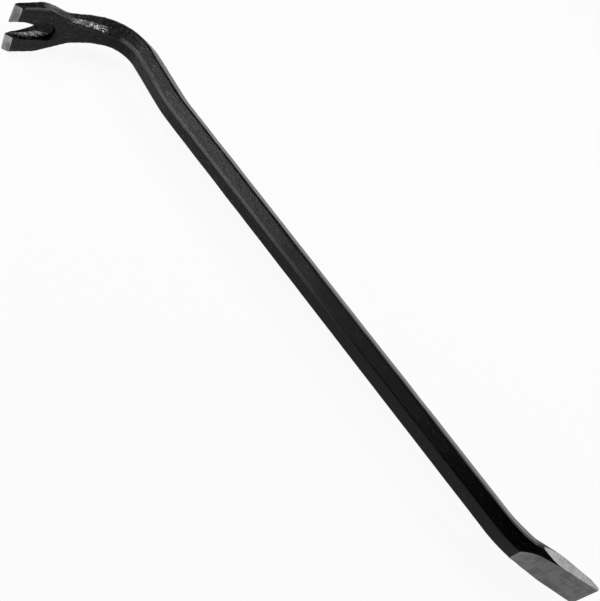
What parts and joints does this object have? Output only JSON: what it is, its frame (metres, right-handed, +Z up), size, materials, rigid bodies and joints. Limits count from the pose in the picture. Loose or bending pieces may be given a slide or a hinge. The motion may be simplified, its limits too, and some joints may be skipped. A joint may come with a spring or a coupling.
{
  "type": "crowbar",
  "caption": "Forged hexagon-bar crowbar with a hooked, V-slotted nail claw at one end and a slightly bent, ground chisel edge at the other.",
  "frame": {"origin": "on the plane that the lower claw side lies on, under the centre of the bounding box in X and Y", "axes": "+X along the straight shank towards the chisel, +Y the side that the chisel bends to (the claw hooks to -Y), +Z up along the width of the claw and of the chisel edge"},
  "size_m": [0.618, 0.1232, 0.0454],
  "materials": {
    "forged_bar": "black enamel over forged steel, with bare ground steel at the prong ends and the chisel"
  },
  "bodies": {
    "root": {"forged_bar": "forged_bar"}
  },
  "joints": []
}
